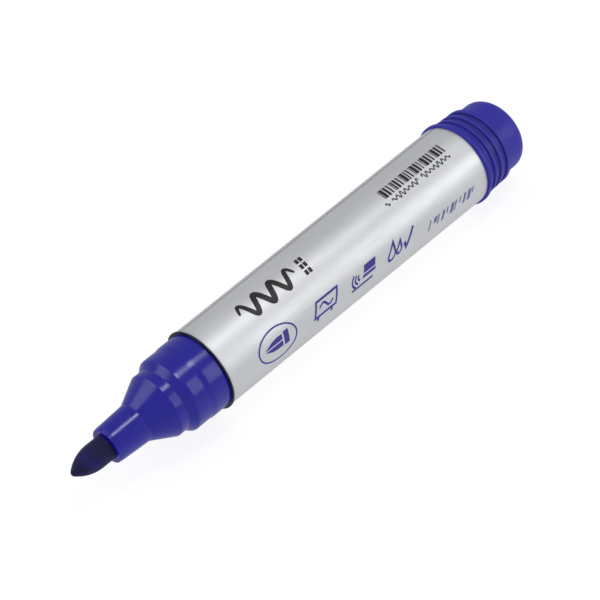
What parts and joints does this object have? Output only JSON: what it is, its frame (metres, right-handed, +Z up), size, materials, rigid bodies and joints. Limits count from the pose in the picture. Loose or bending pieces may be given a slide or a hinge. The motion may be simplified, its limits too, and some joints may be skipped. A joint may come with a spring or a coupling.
{
  "type": "felt tip marker",
  "caption": "Uncapped felt tip marker with a bullet nib, stepped nozzle, tapered labelled barrel and a ribbed pull-out tail plug for refilling.",
  "frame": {"origin": "on the surface it lies on, under the middle of its length and width", "axes": "+Z up, X along the marker with the nib towards -X and the tail plug towards +X"},
  "size_m": [0.1288, 0.0204, 0.0204],
  "materials": {
    "nib_fibre": "matt ink-soaked fibre",
    "front_plastic": "gloss moulded",
    "barrel_plastic": "gloss extruded",
    "label_film": "satin metallised film",
    "core_fibre": "ink-soaked fibre",
    "core_film": "thin film",
    "plug_plastic": "satin moulded"
  },
  "bodies": {
    "barrel": {"barrel": "barrel_plastic", "label_sleeve": "label_film", "front_section": "front_plastic"},
    "nib": {"nib": "nib_fibre"},
    "reservoir": {"ink_reservoir": "core_fibre", "reservoir_film": "core_film"},
    "tail_plug": {"tail_plug": "plug_plastic"}
  },
  "joints": [
    {"name": "nib_pull", "type": "slide", "parent": "barrel", "child": "nib", "axis": [-1, 0, 0], "range_m": [0, 0.03]},
    {"name": "plug_pull", "type": "slide", "parent": "barrel", "child": "tail_plug", "axis": [1, 0, 0], "range_m": [0, 0.1]},
    {"name": "reservoir_pull", "type": "slide", "parent": "barrel", "child": "reservoir", "axis": [1, 0, 0], "range_m": [0, 0.085]}
  ],
  "couplings": [
    {"joint": "reservoir_pull", "follows": "plug_pull", "ratio": 0.85}
  ]
}
